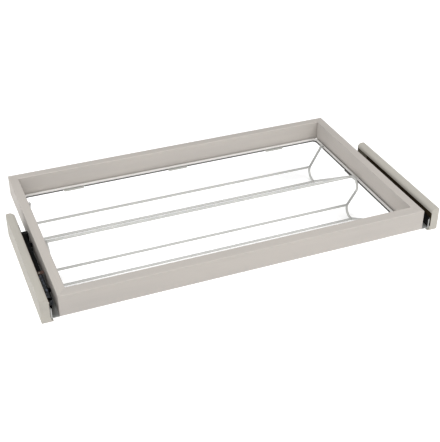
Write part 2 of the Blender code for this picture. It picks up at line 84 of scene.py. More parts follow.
# ---------------------------------------------------------------- materials
class Mat:
    """A Principled material and short ways to add nodes to it."""

    def __init__(self, name, colour, rough, metal=0.0, spec=0.5):
        self.mat = bpy.data.materials.new(name)
        self.mat.use_nodes = True
        self.tree = self.mat.node_tree
        self.bsdf = self.tree.nodes["Principled BSDF"]
        self.bsdf.inputs["Base Color"].default_value = (*colour, 1.0)
        self.bsdf.inputs["Roughness"].default_value = rough
        self.bsdf.inputs["Metallic"].default_value = metal
        self.bsdf.inputs["Specular IOR Level"].default_value = spec
        self.coords = None

    def node(self, kind, **values):
        n = self.tree.nodes.new(kind)
        for key, value in values.items():
            if key in n.inputs:
                n.inputs[key].default_value = value
            else:
                setattr(n, key, value)
        return n

    def link(self, a, b):
        self.tree.links.new(a, b)

    def mapped(self, scale):
        if self.coords is None:
            self.coords = self.node("ShaderNodeTexCoord")
        m = self.node("ShaderNodeMapping")
        m.inputs["Scale"].default_value = scale
        self.link(self.coords.outputs["Object"], m.inputs["Vector"])
        return m.outputs["Vector"]

    def noise(self, scale, size=1.0, detail=3.0, rough=0.55):
        n = self.node("ShaderNodeTexNoise")
        n.inputs["Scale"].default_value = size
        n.inputs["Detail"].default_value = detail
        n.inputs["Roughness"].default_value = rough
        self.link(self.mapped(scale), n.inputs["Vector"])
        return n.outputs["Fac"]

    def cells(self, scale, size=1.0):
        n = self.node("ShaderNodeTexVoronoi")
        n.inputs["Scale"].default_value = size
        self.link(self.mapped(scale), n.inputs["Vector"])
        return n.outputs["Color"], n.outputs["Distance"]

    def span(self, fac, lo, hi, a=0.0, b=1.0):
        """Map lo..hi of fac to a..b, clamped."""
        n = self.node("ShaderNodeMapRange")
        n.inputs["From Min"].default_value = lo
        n.inputs["From Max"].default_value = hi
        n.inputs["To Min"].default_value = a
        n.inputs["To Max"].default_value = b
        self.link(fac, n.inputs["Value"])
        return n.outputs["Result"]

    def math(self, how, a, b):
        n = self.node("ShaderNodeMath", operation=how)
        for i, v in enumerate((a, b)):
            if isinstance(v, (int, float)):
                n.inputs[i].default_value = v
            else:
                self.link(v, n.inputs[i])
        return n.outputs[0]

    def mix(self, fac, a, b, how='MIX'):
        """Blend two colours; a and b are colours or sockets."""
        n = self.node("ShaderNodeMix", data_type='RGBA', blend_type=how)
        if isinstance(fac, (int, float)):
            n.inputs[0].default_value = fac
        else:
            self.link(fac, n.inputs[0])
        for i, v in ((6, a), (7, b)):
            if isinstance(v, tuple):
                n.inputs[i].default_value = (*v, 1.0)
            else:
                self.link(v, n.inputs[i])
        return n.outputs[2]

    def attribute(self, name):
        n = self.node("ShaderNodeAttribute", attribute_name=name)
        return n.outputs["Fac"]

    def colour(self, socket):
        self.link(socket, self.bsdf.inputs["Base Color"])

    def roughness(self, socket):
        self.link(socket, self.bsdf.inputs["Roughness"])

    def bump(self, *heights):
        """heights: (socket, strength, distance in metres)."""
        normal = None
        for socket, strength, distance in heights:
            n = self.node("ShaderNodeBump")
            n.inputs["Strength"].default_value = strength
            n.inputs["Distance"].default_value = distance
            self.link(socket, n.inputs["Height"])
            if normal is not None:
                self.link(normal, n.inputs["Normal"])
            normal = n.outputs["Normal"]
        self.link(normal, self.bsdf.inputs["Normal"])


def tint(colour, k, shift=(0.0, 0.0, 0.0)):
    return tuple(max(0.0, c * k + s) for c, s in zip(colour, shift))


def along_scale(axis, along, across):
    return tuple(along if i == axis else across for i in range(3))


def foil(name, colour, axis, streak=1.0):
    """Matt decor foil on board with a faint grain along one axis."""
    m = Mat(name, colour, 0.6, spec=0.16)
    broad = m.noise(along_scale(axis, 2.2, 24.0), detail=3)
    fine = m.noise(along_scale(axis, 9.0, 420.0), detail=4, rough=0.6)
    cloud = m.noise((7.0, 7.0, 7.0), detail=3)
    grain = m.noise((1500.0, 1500.0, 1500.0), detail=2)
    c = m.mix(m.span(broad, 0.35, 0.65), tint(colour, 1 - 0.035 * streak),
              tint(colour, 1 + 0.030 * streak, (0.004, 0.002, -0.003)))
    c = m.mix(m.span(fine, 0.52, 0.74, 0.0, 0.42), c,
              tint(colour, 1 - 0.095 * streak))
    c = m.mix(m.span(cloud, 0.35, 0.7, 0.0, 0.30), c,
              tint(colour, 1.03, (0.006, 0.0, -0.006)))
    edge = m.attribute("edge")
    # Slightly lighter along the long edges.
    edge_lighter = m.math('MULTIPLY', edge, m.span(cloud, 0.3, 0.75, 0.1, 0.4))
    c = m.mix(edge_lighter, c, tint(colour, 1.03))
    m.colour(c)
    m.roughness(m.span(fine, 0.3, 0.7, 0.54, 0.66))
    m.bump((fine, 0.16, 0.0002), (grain, 0.10, 0.00012))
    return m.mat


def powder(name, colour, rough=0.40, low_shade=0.0):
    """Powder coat with a fine orange peel, darker and duller at welds, and with painted
    shade that darkens it towards the bottom.
    """
    m = Mat(name, colour, rough, spec=0.35)
    peel = m.noise((900.0, 900.0, 900.0), detail=2)
    fine = m.noise((3200.0, 3200.0, 3200.0), detail=2)
    cloud = m.noise((30.0, 30.0, 30.0), detail=3)
    c = m.mix(m.span(cloud, 0.35, 0.68), tint(colour, 0.955),
              tint(colour, 1.035))
    c = m.mix(m.span(fine, 0.55, 0.8, 0.0, 0.25), c, tint(colour, 0.86))
    # Painted shade: the coat darkens towards the bottom, where the lower wires sit in
    # shade.
    place = m.node("ShaderNodeSeparateXYZ")
    m.link(m.mapped((1.0, 1.0, 1.0)), place.inputs[0])
    c = m.mix(m.span(place.outputs[2], OZ - 0.125, OZ - 0.02, low_shade, 0.0), c,
              tint(colour, 0.80))
    weld = m.attribute("weld")
    c = m.mix(m.math('MULTIPLY', weld, 0.38), c, tint(colour, 0.74))
    m.colour(c)
    m.roughness(m.math('ADD', m.span(peel, 0.3, 0.7, rough - 0.07, rough + 0.07),
                       m.math('MULTIPLY', weld, 0.14)))
    m.bump((peel, 0.20, 0.00018), (fine, 0.10, 0.00006))
    return m.mat


def black_steel(name, colour, axis=1, spec=0.18):
    """Blackened rolled steel: fine rolling marks, oil smears, and lighter bluish spots
    that are painted glints.
    """
    m = Mat(name, colour, 0.5, metal=0.1, spec=spec)
    roll = m.noise(along_scale(axis, 14.0, 1300.0), detail=4)
    smear = m.noise((34.0, 22.0, 60.0), detail=4)
    glint_spots = m.noise((190.0, 95.0, 190.0), detail=3)
    c = m.mix(m.span(smear, 0.38, 0.68), tint(colour, 0.5), tint(colour, 1.7))
    # Painted glints: lighter bluish spots on the black steel.
    c = m.mix(m.span(glint_spots, 0.54, 0.68, 0.0, 0.85), c,
              tuple(c * k for c, k in zip(colour, (4.2, 4.4, 5.2))))
    c = m.mix(m.span(roll, 0.55, 0.8, 0.0, 0.4), c, tint(colour, 2.0))
    m.colour(c)
    m.roughness(m.span(smear, 0.3, 0.7, 0.40, 0.62))
    m.bump((roll, 0.22, 0.0001), (glint_spots, 0.12, 0.00012))
    return m.mat


def galvanised(name, colour):
    """Zinc coat with its crystal spangle."""
    m = Mat(name, colour, 0.45, metal=0.35, spec=0.5)
    cell, dist = m.cells((230.0, 230.0, 230.0))
    sep = m.node("ShaderNodeSeparateColor")
    m.link(cell, sep.inputs[0])
    cloud = m.noise((45.0, 45.0, 45.0), detail=4)
    fine = m.noise((1800.0, 1800.0, 1800.0), detail=2)
    c = m.mix(m.span(sep.outputs[0], 0.0, 1.0), tint(colour, 0.82),
              tint(colour, 1.16))
    c = m.mix(m.span(cloud, 0.45, 0.75, 0.0, 0.5), c,
              tint(colour, 0.70, (0.0, 0.004, 0.008)))
    m.colour(c)
    m.roughness(m.span(sep.outputs[1], 0.0, 1.0, 0.34, 0.52))
    m.bump((dist, 0.08, 0.0001), (fine, 0.08, 0.00005))
    return m.mat


def moulded(name, colour, rough=0.5, size=1400.0):
    """Moulded plastic or rubber with a spark-eroded grain."""
    m = Mat(name, colour, rough, spec=0.4)
    grain = m.noise((size, size, size), detail=2)
    cloud = m.noise((40.0, 40.0, 40.0), detail=3)
    c = m.mix(m.span(cloud, 0.35, 0.7), tint(colour, 0.82), tint(colour, 1.25))
    c = m.mix(m.span(grain, 0.55, 0.75, 0.0, 0.3), c, tint(colour, 1.8))
    m.colour(c)
    m.roughness(m.span(grain, 0.3, 0.7, rough - 0.10, rough + 0.12))
    m.bump((grain, 0.25, 0.00015))
    return m.mat


def plated(name, colour, rough=0.30):
    """Plated turned steel: fine marks and a slight colour drift."""
    m = Mat(name, colour, rough, metal=1.0)
    marks = m.noise((1600.0, 1600.0, 500.0), detail=3)
    drift = m.noise((150.0, 150.0, 150.0), detail=2)
    c = m.mix(m.span(drift, 0.35, 0.7), tint(colour, 0.86),
              tint(colour, 1.08, (0.02, 0.01, -0.01)))
    m.colour(c)
    m.roughness(m.span(marks, 0.3, 0.7, rough - 0.08, rough + 0.14))
    m.bump((marks, 0.12, 0.00005))
    return m.mat


def pressed_wood(name, colour, spec=0.25):
    m = Mat(name, colour, 0.75, spec=spec)
    fibre = m.noise((900.0, 900.0, 120.0), detail=4)
    c = m.mix(m.span(fibre, 0.35, 0.7), tint(colour, 0.7), tint(colour, 1.15))
    m.colour(c)
    m.roughness(m.span(fibre, 0.3, 0.7, 0.65, 0.85))
    m.bump((fibre, 0.3, 0.0002))
    return m.mat


GREIGE = (0.413, 0.387, 0.361)
SPACER_C = (0.392, 0.374, 0.337)
WIRE_C = (0.465, 0.465, 0.448)
RING_LIT_C = (0.560, 0.545, 0.525)
TAB_C = (0.340, 0.340, 0.314)

M_RAIL_X = foil("frame_foil_x", GREIGE, 0)
M_RAIL_Y = foil("frame_foil_y", GREIGE, 1)
M_SPACER = foil("spacer_foil", SPACER_C, 1, streak=1.6)
# Painted shade: near black and dark olive for the spacers' inner faces in the deep gap.
M_GAP_SHADE = pressed_wood("spacer_gap_painted_shade", (0.033, 0.024, 0.014), 0.02)
M_REAR_SHADE = pressed_wood("spacer_rear_painted_shade", (0.124, 0.114, 0.090), 0.02)
M_WIRE = powder("wire_coat", WIRE_C, 0.44, 0.3)
# Painted light and shade: lighter and darker copies of the wire coat for the side wires.
M_WAVE_LIT = powder("side_wire_painted_light", tint(WIRE_C, 1.15), 0.44, 0.3)
M_LEG_SHADED = powder("side_leg_painted_shade", tint(WIRE_C, 0.74), 0.44, 0.3)
# Painted light: the ring takes a lighter copy of the wire coat, as the lit top wire of the
# rack.
M_RING_LIT = powder("ring_coat_painted_light", RING_LIT_C, 0.36)
M_TAB = powder("tab_coat", TAB_C, 0.46)
# Painted shade: the side tabs take a much darker copy of the tab coat, for their ends in
# shade.
M_TAB_SIDE_SHADED = powder("side_tab_painted_shade", tint(TAB_C, 0.20), 0.46)
M_BLACK = black_steel("slide_black", (0.0040, 0.0040, 0.0042), spec=0.08)
# Painted light: a lighter bluish grey for the lit front of the cabinet member's top
# flange.
M_FLANGE_LIT = black_steel("slide_flange_painted_light", (0.042, 0.045, 0.050))
# Painted shade: a near-black copy for the angle's upright leg.
M_ANGLE_SHADE = black_steel("angle_leg_painted_shade", (0.0080, 0.0080, 0.0078))
M_ZINC = galvanised("slide_zinc", (0.40, 0.41, 0.40))
# Painted light: a lighter zinc for the angle's front tab.
M_ANGLE_LIT = galvanised("angle_tab_painted_light", (0.48, 0.48, 0.465))
M_STOP = moulded("stop_plastic", (0.008, 0.008, 0.008), 0.5)
M_CAP = moulded("slide_cap", (0.070, 0.078, 0.090), 0.45, 1500.0)
M_UNDER_STRIP = moulded("ring_strip", (0.040, 0.038, 0.035), 0.70, 1100.0)
M_CAGE = plated("cage_strip", (0.40, 0.39, 0.37), 0.34)
M_BALL = plated("balls", (0.62, 0.62, 0.62), 0.14)
M_SCREW = plated("screw_zinc", (0.56, 0.55, 0.50), 0.30)
M_COPPER = moulded("detent_leaf", (0.066, 0.035, 0.025), 0.5, 800.0)
M_BEECH = pressed_wood("biscuit", (0.42, 0.27, 0.15))


# -------------------------------------------------------------- mesh builder
class Build:
    """Collects closed shells for one piece."""

    def __init__(self):
        self.v, self.f, self.fm = [], [], []
        self.a = []

    def shell(self, verts, faces, mat=0, attr=None):
        o = len(self.v)
        self.v += [tuple(p) for p in verts]
        self.a += list(attr) if attr is not None else [0.0] * len(verts)
        self.f += [tuple(i + o for i in face) for face in faces]
        self.fm += [mat] * len(faces)

    def loft(self, rings, mat=0, attr=None, closed=False):
        n, k = len(rings[0]), len(rings)
        verts = [p for r in rings for p in r]
        faces = []
        for i in range(k if closed else k - 1):
            j = (i + 1) % k
            for a in range(n):
                b = (a + 1) % n
                faces.append((i * n + a, i * n + b, j * n + b, j * n + a))
        if not closed:
            faces.append(tuple(reversed(range(n))))
            faces.append(tuple((k - 1) * n + a for a in range(n)))
        at = None
        if attr is not None:
            at = [x for row in attr for x in row]
        self.shell(verts, faces, mat, at)

    def tube(self, path, radii, sides=20, mat=0, weld=None, closed=False):
        path = [Vector(p) for p in path]
        k = len(path)
        if isinstance(radii, float):
            radii = [radii] * k
        weld = weld or [0.0] * k
        dirs = []
        for i in range(k):
            a = path[i] - path[i - 1] if (closed or i) else path[1] - path[0]
            b = (path[(i + 1) % k] - path[i]
                 if (closed or i < k - 1) else path[-1] - path[-2])
            dirs.append((a.normalized() + b.normalized()).normalized())
        side = dirs[0].orthogonal().normalized()
        if abs(dirs[0].z) < 0.9:
            side = (Vector((0, 0, 1)) - dirs[0] * dirs[0].z).normalized()
        rings, attr = [], []
        for i in range(k):
            side = (side - dirs[i] * side.dot(dirs[i])).normalized()
            other = dirs[i].cross(side)
            rings.append([path[i] + (side * math.cos(t) + other * math.sin(t))
                          * radii[i]
                          for t in (2 * math.pi * s / sides
                                    for s in range(sides))])
            attr.append([weld[i]] * sides)
        self.loft(rings, mat, attr, closed)

    def bead(self, centre, size, axis=(0, 0, 1), seed=0.0, mat=0, rings=9,
             sides=14):
        """Lumpy weld bead: a knobbly ellipsoid."""
        axis = Vector(axis).normalized()
        turn = axis.to_track_quat('Z', 'Y').to_matrix()
        verts, faces = [], []
        for i in range(1, rings):
            t = math.pi * i / rings
            for s in range(sides):
                a = 2 * math.pi * s / sides
                p = Vector((math.sin(t) * math.cos(a), math.sin(t) * math.sin(a),
                            math.cos(t)))
                lump = 1 + 0.16 * noise.noise(p * 1.7 + Vector((seed, 0, seed)))
                q = Vector((p.x * size[0], p.y * size[1], p.z * size[2])) * lump
                verts.append(Vector(centre) + turn @ q)
        top, low = len(verts), len(verts) + 1
        verts.append(Vector(centre) + turn @ Vector((0, 0, size[2])))
        verts.append(Vector(centre) - turn @ Vector((0, 0, size[2])))
        for i in range(rings - 2):
            for s in range(sides):
                e = (s + 1) % sides
                faces.append((i * sides + s, (i + 1) * sides + s,
                              (i + 1) * sides + e, i * sides + e))
        last = (rings - 2) * sides
        for s in range(sides):
            e = (s + 1) % sides
            faces.append((top, s, e))
            faces.append((low, last + e, last + s))
        self.shell(verts, faces, mat, [0.55] * len(verts))

    def mesh(self, name):
        mesh = bpy.data.meshes.new(name)
        mesh.from_pydata(self.v, [], self.f)
        mesh.polygons.foreach_set("material_index", self.fm)
        return mesh

    def make(self, name, mats, body, nodes=(), attribute=None, smooth=38.0,
             weighted=False, slot=None):
        mesh = self.mesh(name)
        if attribute:
            layer = mesh.attributes.new(attribute, 'FLOAT', 'POINT')
            layer.data.foreach_set("value", self.a)
        return place(name, mesh, mats, body, nodes, smooth, weighted, slot)


def tidy(mesh):
    """Faces outward, all shells."""
    import bmesh
    bm = bmesh.new()
    bm.from_mesh(mesh)
    bmesh.ops.recalc_face_normals(bm, faces=bm.faces[:])
    bm.to_mesh(mesh)
    bm.free()


def place(name, mesh, mats, body, nodes=(), smooth=38.0, weighted=False,
          slot=None):
    tidy(mesh)
    index = [poly.material_index for poly in mesh.polygons]
    mesh.materials.clear()
    for m in mats:
        mesh.materials.append(m)
    mesh.polygons.foreach_set("material_index", index)
    mesh.shade_smooth()
    mesh.set_sharp_from_angle(angle=math.radians(smooth))
    obj = bpy.data.objects.new(name, mesh)
    scene.collection.objects.link(obj)
    if weighted:
        mod = obj.modifiers.new("normals", 'WEIGHTED_NORMAL')
        mod.keep_sharp = True
        mod.weight = 80
    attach(obj, body)
    if nodes:
        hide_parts(*nodes)
    return obj


def cut(mesh, tool):
    """Mesh minus a tool mesh."""
    tidy(mesh)
    tidy(tool)
    a = bpy.data.objects.new("cut_a", mesh)
    b = bpy.data.objects.new("cut_b", tool)
    scene.collection.objects.link(a)
    scene.collection.objects.link(b)
    mod = a.modifiers.new("cut", 'BOOLEAN')
    mod.operation = 'DIFFERENCE'
    mod.solver = 'EXACT'
    mod.object = b
    graph = bpy.context.evaluated_depsgraph_get()
    out = bpy.data.meshes.new_from_object(a.evaluated_get(graph))
    bpy.data.objects.remove(a, do_unlink=True)
    bpy.data.objects.remove(b, do_unlink=True)
    return out


def arc(cx, cy, r, start, stop, steps):
    out = []
    for i in range(steps + 1):
        t = math.radians(start + (stop - start) * i / steps)
        out.append((cx + r * math.cos(t), cy + r * math.sin(t)))
    return out


def rounded(a0, a1, b0, b1, r, steps=6):
    return (arc(a1 - r, b0 + r, r, -90, 0, steps)
            + arc(a1 - r, b1 - r, r, 0, 90, steps)
            + arc(a0 + r, b1 - r, r, 90, 180, steps)
            + arc(a0 + r, b0 + r, r, 180, 270, steps))


def bent_path(points, bends, steps):
    pts = [Vector(p) for p in points]
    path, tangents = [pts[0]], []
    for i, radius in enumerate(bends, start=1):
        corner = pts[i]
        back = (pts[i - 1] - corner).normalized()
        ahead = (pts[i + 1] - corner).normalized()
        half = back.angle(ahead) / 2
        reach = radius / math.tan(half)
        first, last = corner + back * reach, corner + ahead * reach
        centre = corner + (back + ahead).normalized() * (radius / math.sin(half))
        r0, r1 = first - centre, last - centre
        sweep = r0.angle(r1)
        for k in range(steps + 1):
            t = k / steps
            path.append(centre + (r0 * math.sin((1 - t) * sweep)
                                  + r1 * math.sin(t * sweep)) / math.sin(sweep))
        tangents.append((first, last))
    path.append(pts[-1])
    return path, tangents


# -------------------------------------------------------------------- camera
cam_data = bpy.data.cameras.new("camera")
cam = bpy.data.objects.new("camera", cam_data)
scene.collection.objects.link(cam)
right = Vector((0.926235, -0.376935, 0.002973))
down = Vector((-0.203789, -0.507370, -0.837285))
ahead = Vector((0.317110, 0.774917, -0.546759))
cam.matrix_world = Matrix.Translation(D(-0.68805, -1.74977, 1.19723)) @ Matrix(
    ((right.x, -down.x, -ahead.x), (right.y, -down.y, -ahead.y),
     (right.z, -down.z, -ahead.z))).to_4x4()
cam_data.sensor_width = 36.0
cam_data.lens = 897.7 / 442 * 36.0
cam_data.shift_x = -0.4 / 442
cam_data.shift_y = 0.15 / 442
cam_data.clip_end = 200.0
scene.camera = cam

# ---------------------------------------------------------------- tray rails
RAIL_R = 0.0019
RAIL_LOW_R = 0.0007


def rail_outline(t0, t1, d, rebate=0.0):
    """Section of a rail, and how near each point is to a long edge. A rebate
    sets the lower part of the t1 side back."""
    t0, t1, z0, z1 = t0 + d, t1 - d, d, RAIL_H - d
    low, r = RAIL_LOW_R - d, RAIL_R - d
    foot = t1 - rebate
    corners = [arc(foot - low, z0 + low, low, -90, 0, 6),
               arc(t1 - r, z1 - r, r, 0, 90, 6),
               arc(t0 + r, z1 - r, r, 90, 180, 6),
               arc(t0 + low, z0 + low, low, 180, 270, 6)]
    edges = [[0.25] + [1.0] * 5 + [0.25] for _ in corners]
    if rebate:
        corners.insert(1, [(foot, REBATE_Z + d), (t1, REBATE_Z + d)])
        edges.insert(1, [0.0, 0.25])
    return sum(corners, []), sum(edges, [])


def rail(name, node, axis, sign, mat):
    """One mitred rail with soft long edges; axis 0 runs along X."""
    front = axis == 0 and sign < 0
    if axis == 0:
        t0, t1 = sorted((sign * HY, sign * (HY - (FRONT_T if front else RAIL_T))))
    else:
        t0, t1 = sorted((sign * HX, sign * INNER_X))
    rebate = FRONT_T - RAIL_T if front else 0.0
    prof, edge = rail_outline(t0, t1, 0.0, rebate)
    small, _ = rail_outline(t0, t1, 0.00012, rebate)
    rings, attr = [], []
    for side, inset, outline in ((-1, 0.0001, small), (-1, 0.0003, prof),
                                 (-1, 0.02, prof), (1, 0.02, prof),
                                 (1, 0.0003, prof), (1, 0.0001, small)):
        ring = []
        for t, z in outline:
            if axis == 0:
                k = RAIL_T / FRONT_T if front else 1.0
                e = HX - (HY - abs(t)) * k - inset
                ring.append(D(side * e, t, z))
            else:
                k = FRONT_T / RAIL_T if side < 0 else 1.0
                e = HY - (HX - abs(t)) * k - inset
                ring.append(D(t, side * e, z))
        rings.append(ring)
        attr.append(edge)
    b = Build()
    b.loft(rings, 0, attr)
    b.make(name, [mat], "tray", (node,), "edge", 40.0, True, "frame_foil")


rail("frame_front", "front_rail", 0, -1, M_RAIL_X)
rail("frame_back", "back_rail", 0, 1, M_RAIL_X)
rail("frame_left", "left_rail", 1, -1, M_RAIL_Y)
rail("frame_right", "right_rail", 1, 1, M_RAIL_Y)

# ----------------------------------------------------------------- wire rack
WIRE_R, ROD_R, SIDE_R = 0.003, 0.0032, 0.0033
RING_X, RING_Y, RING_Z, RING_BEND = 0.417, 0.239, 0.0015, 0.012
WAVE_X = 0.4097
WAVE = [(0.1882, 0.0084), (0.2997, -0.1759), (-0.0534, 0.0444),
        (0.0654, -0.1581), (-0.2405, 0.0109)]
wave_path, wave_tangents = bent_path(WAVE, (0.0237, 0.0206, 0.0218), 22)


def into_bend(index, radius, length):
    """Point on the side wire, a given length into one of its bends."""
    start, end = wave_tangents[index]
    corner = Vector(WAVE[index + 1])
    leg = (corner - start).normalized()
    inward = (start + end) / 2 - corner
    inward = (inward - leg * inward.dot(leg)).normalized()
    angle = length / radius
    return (start + leg * radius * math.sin(angle)
            + inward * radius * (1 - math.cos(angle)))


RODS = {"rear_heel_rod": into_bend(0, 0.0237, 0.0030),
        "rear_bottom_rod": wave_tangents[0][1],
        "middle_crest_rod": wave_tangents[1][0],
        "front_heel_rod": into_bend(2, 0.0218, 0.0045),
        "front_bottom_rod": wave_tangents[2][1]}

# Ring: one closed loop, with a dressed butt weld near each corner.
loop, radii, weld = [], [], []


def ring_point(x, y, r=WIRE_R, w=0.0):
    loop.append(D(x, y, RING_Z))
    radii.append(r)
    weld.append(w)


butt = RING_Y - RING_BEND - 0.004
for cx, cy, start in ((1, 1, 0), (-1, 1, 90), (-1, -1, 180), (1, -1, 270)):
    def butt_weld(x, y0, way):
        for dy, dr, w in ((-0.003, 0.0, 0.1), (-0.0015, 0.00025, 0.7),
                          (0.0, 0.00035, 1.0), (0.0015, 0.00025, 0.7),
                          (0.003, 0.0, 0.1)):
            ring_point(x, y0 + way * dy, WIRE_R + dr, w)
    if start in (0, 180):
        butt_weld(cx * RING_X, cy * butt, cy)
    for x, y in arc(cx * (RING_X - RING_BEND), cy * (RING_Y - RING_BEND),
                    RING_BEND, start, start + 90, 9):
        ring_point(x, y)
    if start in (90, 270):
        butt_weld(cx * RING_X, cy * butt, -cy)
b = Build()
b.tube(loop, radii, 24, 0, weld, closed=True)
b.make("rack_ring", [M_RING_LIT], "tray",
       ("ring_rod_front", "ring_rod_back", "ring_rod_left", "ring_rod_right"),
       "weld", 60.0, slot="wire_coating")


def end_rounded(path, r):
    """Adds rounded ends to an open path; gives path and radii."""
    first = (path[1] - path[0]).normalized()
    last = (path[-1] - path[-2]).normalized()
    head = [path[0] + first * s for s in (0.0, 0.0003, 0.0008, 0.0016)]
    tail = [path[-1] - last * s for s in (0.0016, 0.0008, 0.0003, 0.0)]
    shape = [0.62 * r, 0.83 * r, 0.96 * r, r]
    return (head + path[1:-1] + tail,
            shape + [r] * (len(path) - 2) + shape[::-1])


# Painted shade and light on the side wires: the two legs that run down and back get a
# darker copy of the wire coat, and their other low parts a lighter copy.
LEGS = ((Vector(WAVE[0]), wave_tangents[0][0]),
        (wave_tangents[1][1], wave_tangents[2][0]))
for side, s in (("left", -1), ("right", 1)):
    pts, rr = end_rounded([D(s * WAVE_X, p.x, p.y + SIDE_R - WIRE_R)
                           for p in wave_path], SIDE_R)
    ww = []
    for p in pts:
        near = min((Vector((p.y - OY, p.z - OZ)) - q).length
                   for q in RODS.values())
        ww.append(max(0.0, 1.0 - near / 0.006))
    b = Build()
    b.tube(pts, rr, 24, 0, ww)
    wave = b.make("rack_wave_" + side, [M_WAVE_LIT, M_LEG_SHADED, M_WIRE], "tray",
                  ("side_wave_wire_" + side,), "weld", 60.0, slot="wire_coating")
    for poly in wave.data.polygons:
        q = Vector((poly.center.y - OY, poly.center.z - OZ))
        if q.y > -0.03:
            poly.material_index = 2
        for start, end in LEGS:
            along = (end - start).normalized()
            step = (q - start).dot(along)
            if (0 < step < (end - start).length
                    and (q - start - along * step).length < 0.006):
                poly.material_index = 1

for label, q in RODS.items():
    xs, rr, ww = [], [], []
    for back, dr, w in ((0.0, 0.00105, 1.0), (0.0006, 0.00085, 1.0),
                        (0.0014, 0.00052, 0.9), (0.0024, 0.00022, 0.6),
                        (0.0036, 0.00005, 0.3), (0.0050, 0.0, 0.0)):
        xs.append(WAVE_X - 0.0016 - back)
        rr.append(ROD_R + dr)
        ww.append(w)
    for x in (0.30, 0.15):
        xs.append(x)
        rr.append(ROD_R)
        ww.append(0.0)
    pts = [D(-x, q.x, q.y) for x in xs] + [D(0, q.x, q.y)] + [
        D(x, q.x, q.y) for x in reversed(xs)]
    rr = rr + [ROD_R] + rr[::-1]
    ww = ww + [0.0] + ww[::-1]
    b = Build()
    b.tube(pts, rr, 24, 0, ww)
    b.make("rack_" + label, [M_WIRE], "tray", (label,), "weld", 60.0,
           slot="wire_coating")

# Weld beads where the side wires meet the ring.
b = Build()
for s in (-1, 1):
    x = s * (WAVE_X + RING_X) / 2
    b.bead(D(x, 0.1915, 0.0036), (0.0021, 0.0022, 0.0058), (0, 1, -0.6), s + 3)
    b.bead(D(x, 0.1895, -0.0008), (0.0018, 0.0018, 0.0040), (0, 1, -0.8), s + 5)
    b.bead(D(x, 0.0075, 0.0037), (0.0021, 0.0020, 0.0062), (0, 1, 0.1), s + 8)
    b.bead(D(x, 0.0060, -0.0009), (0.0018, 0.0018, 0.0052), (0, 1, 0), s + 9)
    b.bead(D(s * WAVE_X - s * 0.0022, -0.2375, 0.0050),
           (0.0020, 0.0018, 0.0032), (0, 1, 0), s + 12)
    b.bead(D(s * WAVE_X + s * 0.0022, -0.2375, 0.0050),
           (0.0020, 0.0018, 0.0032), (0, 1, 0), s + 14)
b.make("rack_welds", [M_WIRE], "tray", (), "weld", 70.0, slot="wire_coating")

# -------------------------------------------------- tabs, strips and screws
TAB_X, TAB_W, TAB_SIDE_Y, TAB_SIDE_W = (-0.285, 0.0, 0.285), 0.054, 0.036, 0.070
TAB_TOP, TAB_STEP, TAB_LOW = -0.0003, -0.0018, -0.0043
TABS = {}
for label, x in zip(("left", "centre", "right"), TAB_X):
    TABS["back_" + label] = (0, 1, x, TAB_W, 0.0135)
    TABS["front_" + label] = (0, -1, x, TAB_W, 0.0135)
TABS["side_left"] = (1, -1, TAB_SIDE_Y, TAB_SIDE_W, 0.0082)
TABS["side_right"] = (1, 1, TAB_SIDE_Y, TAB_SIDE_W, 0.0082)


def tab_point(axis, sign, across, along, z):
    if axis == 0:
        return D(along, sign * (INNER_Y + across), z)
    return D(sign * (INNER_X + across), along, z)


for spot, (axis, sign, where, width, reach) in TABS.items():
    rings = []
    half, rnd = width / 2, 0.006
    stations = []
    for i in range(7):
        stations.append(half - rnd * (1 - math.sin(math.radians(15 * i))))
    stations = sorted(set([-v for v in stations] + [-half + 0.015, 0.0,
                                                    half - 0.015] + stations))
    for at in stations:
        d = half - abs(at)
        pull = 0.0
        if d < rnd:
            pull = rnd - math.sqrt(max(0.0, rnd ** 2 - (rnd - d) ** 2))
        out = pull - reach
        c = 0.0005
        prof = [(0.015 - c, TAB_LOW), (0.015, TAB_LOW + c), (0.015, TAB_TOP - c),
                (0.015 - c, TAB_TOP), (0.0016, TAB_TOP), (0.0006, TAB_TOP - 0.0003),
                (-0.0006, TAB_STEP + 0.0003), (-0.0016, TAB_STEP),
                (out + c, TAB_STEP), (out, TAB_STEP - c), (out, TAB_LOW + c),
                (out + c, TAB_LOW)]
        rings.append([tab_point(axis, sign, a, where + at, z) for a, z in prof])
    b = Build()
    b.loft(rings)
    b.make("tab_" + spot, [M_TAB_SIDE_SHADED if axis else M_TAB], "tray",
           ("support_tab_" + spot,), None, 35.0, True, "tab_coating")

# A dark strip clipped under the ring, between the tabs.
def strip_profile(drop, lip):
    """Section under the ring; lip is how far the outer edge stands up."""
    hug = [(3.06 * math.cos(t), 3.06 * math.sin(t)) for t in
           (math.radians(-146 + (112 + lip * 0.9) * k / 15) for k in range(16))]
    top = hug[-1][1]
    return hug + [(hug[-1][0] + 0.35 + lip * 0.011, top + 0.05),
                  (3.85, top - 1.2), (3.2, -3.0), (2.6, -drop + 0.5),
                  (2.15, -drop), (-2.15, -drop), (-2.6, -drop + 0.5),
                  (-2.75, -2.6)]


def strip_run(b, path, normal_of, drops, lips):
    rings = []
    for p, drop, lip in zip(path, drops, lips):
        n = normal_of(p)
        rings.append([D(p[0] + n[0] * u / 1000, p[1] + n[1] * u / 1000,
                        RING_Z + z / 1000) for u, z in strip_profile(drop, lip)])
    b.loft(rings)


